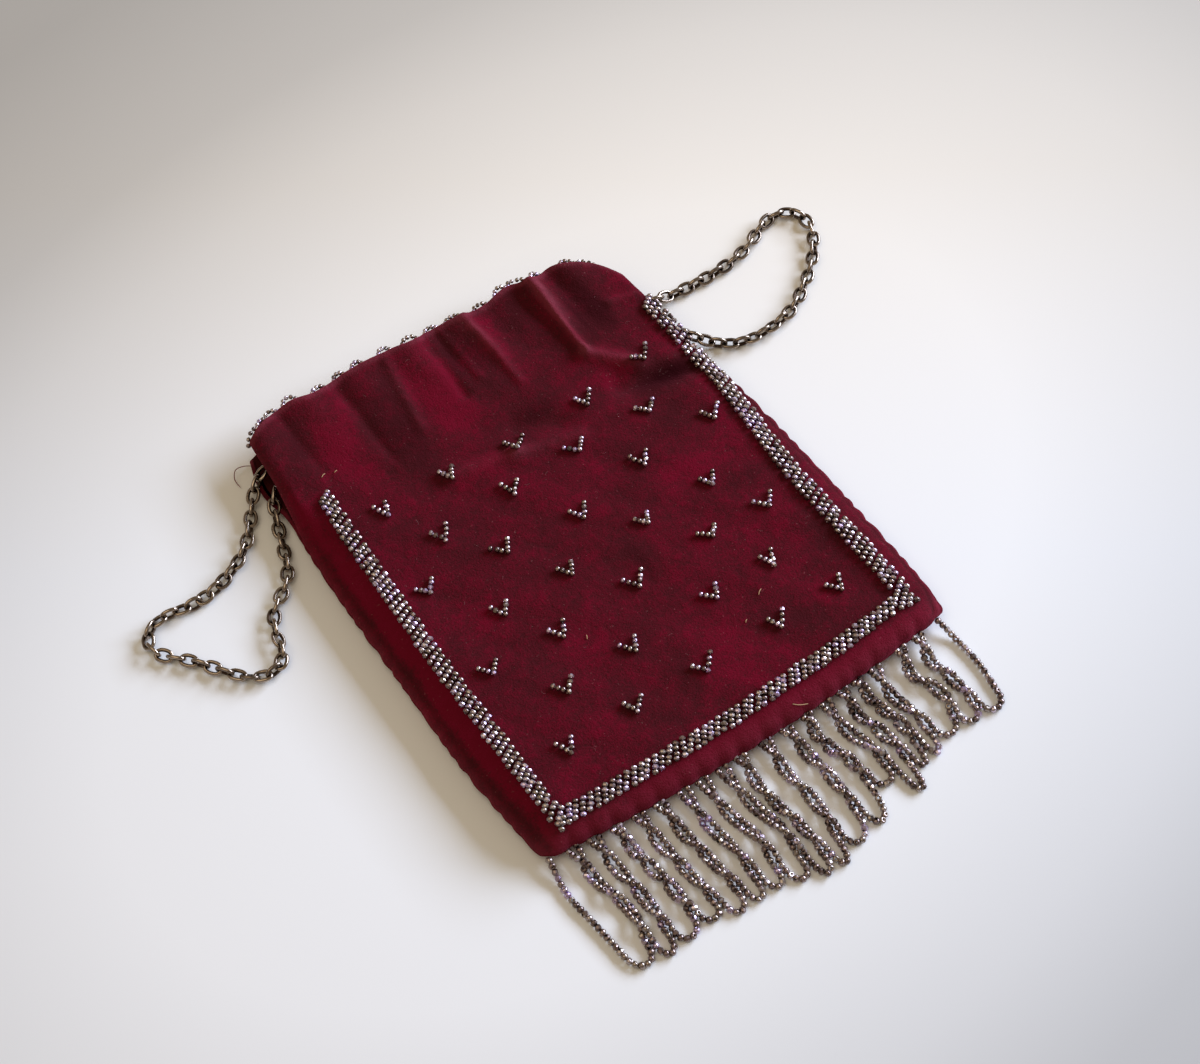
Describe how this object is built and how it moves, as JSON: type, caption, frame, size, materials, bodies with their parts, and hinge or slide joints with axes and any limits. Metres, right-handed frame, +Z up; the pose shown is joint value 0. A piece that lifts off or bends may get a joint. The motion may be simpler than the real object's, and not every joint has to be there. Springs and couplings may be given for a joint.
{
  "type": "drawstring purse",
  "caption": "Flat velvet drawstring purse lying on its back, with a bead border, bead sprigs, a looped bead fringe and a chain loop out of each side of its gathered mouth.",
  "frame": {"origin": "on the resting face under the middle of the front panel", "axes": "+X to the right across the front panel, +Y up the pouch towards its mouth, +Z up out of the front panel"},
  "size_m": [0.2261, 0.1913, 0.0127],
  "materials": {
    "velvet": "deep burgundy silk velvet, worn at the edges",
    "cut_steel": "faceted steel beads, dulled to a grey bronze",
    "aged_nickel": "aged nickel wire"
  },
  "bodies": {
    "root": {"velvet_pouch": "velvet", "bead_border": "cut_steel", "bead_fringe": "cut_steel", "chain_left": "aged_nickel", "chain_right": "aged_nickel"}
  },
  "joints": []
}
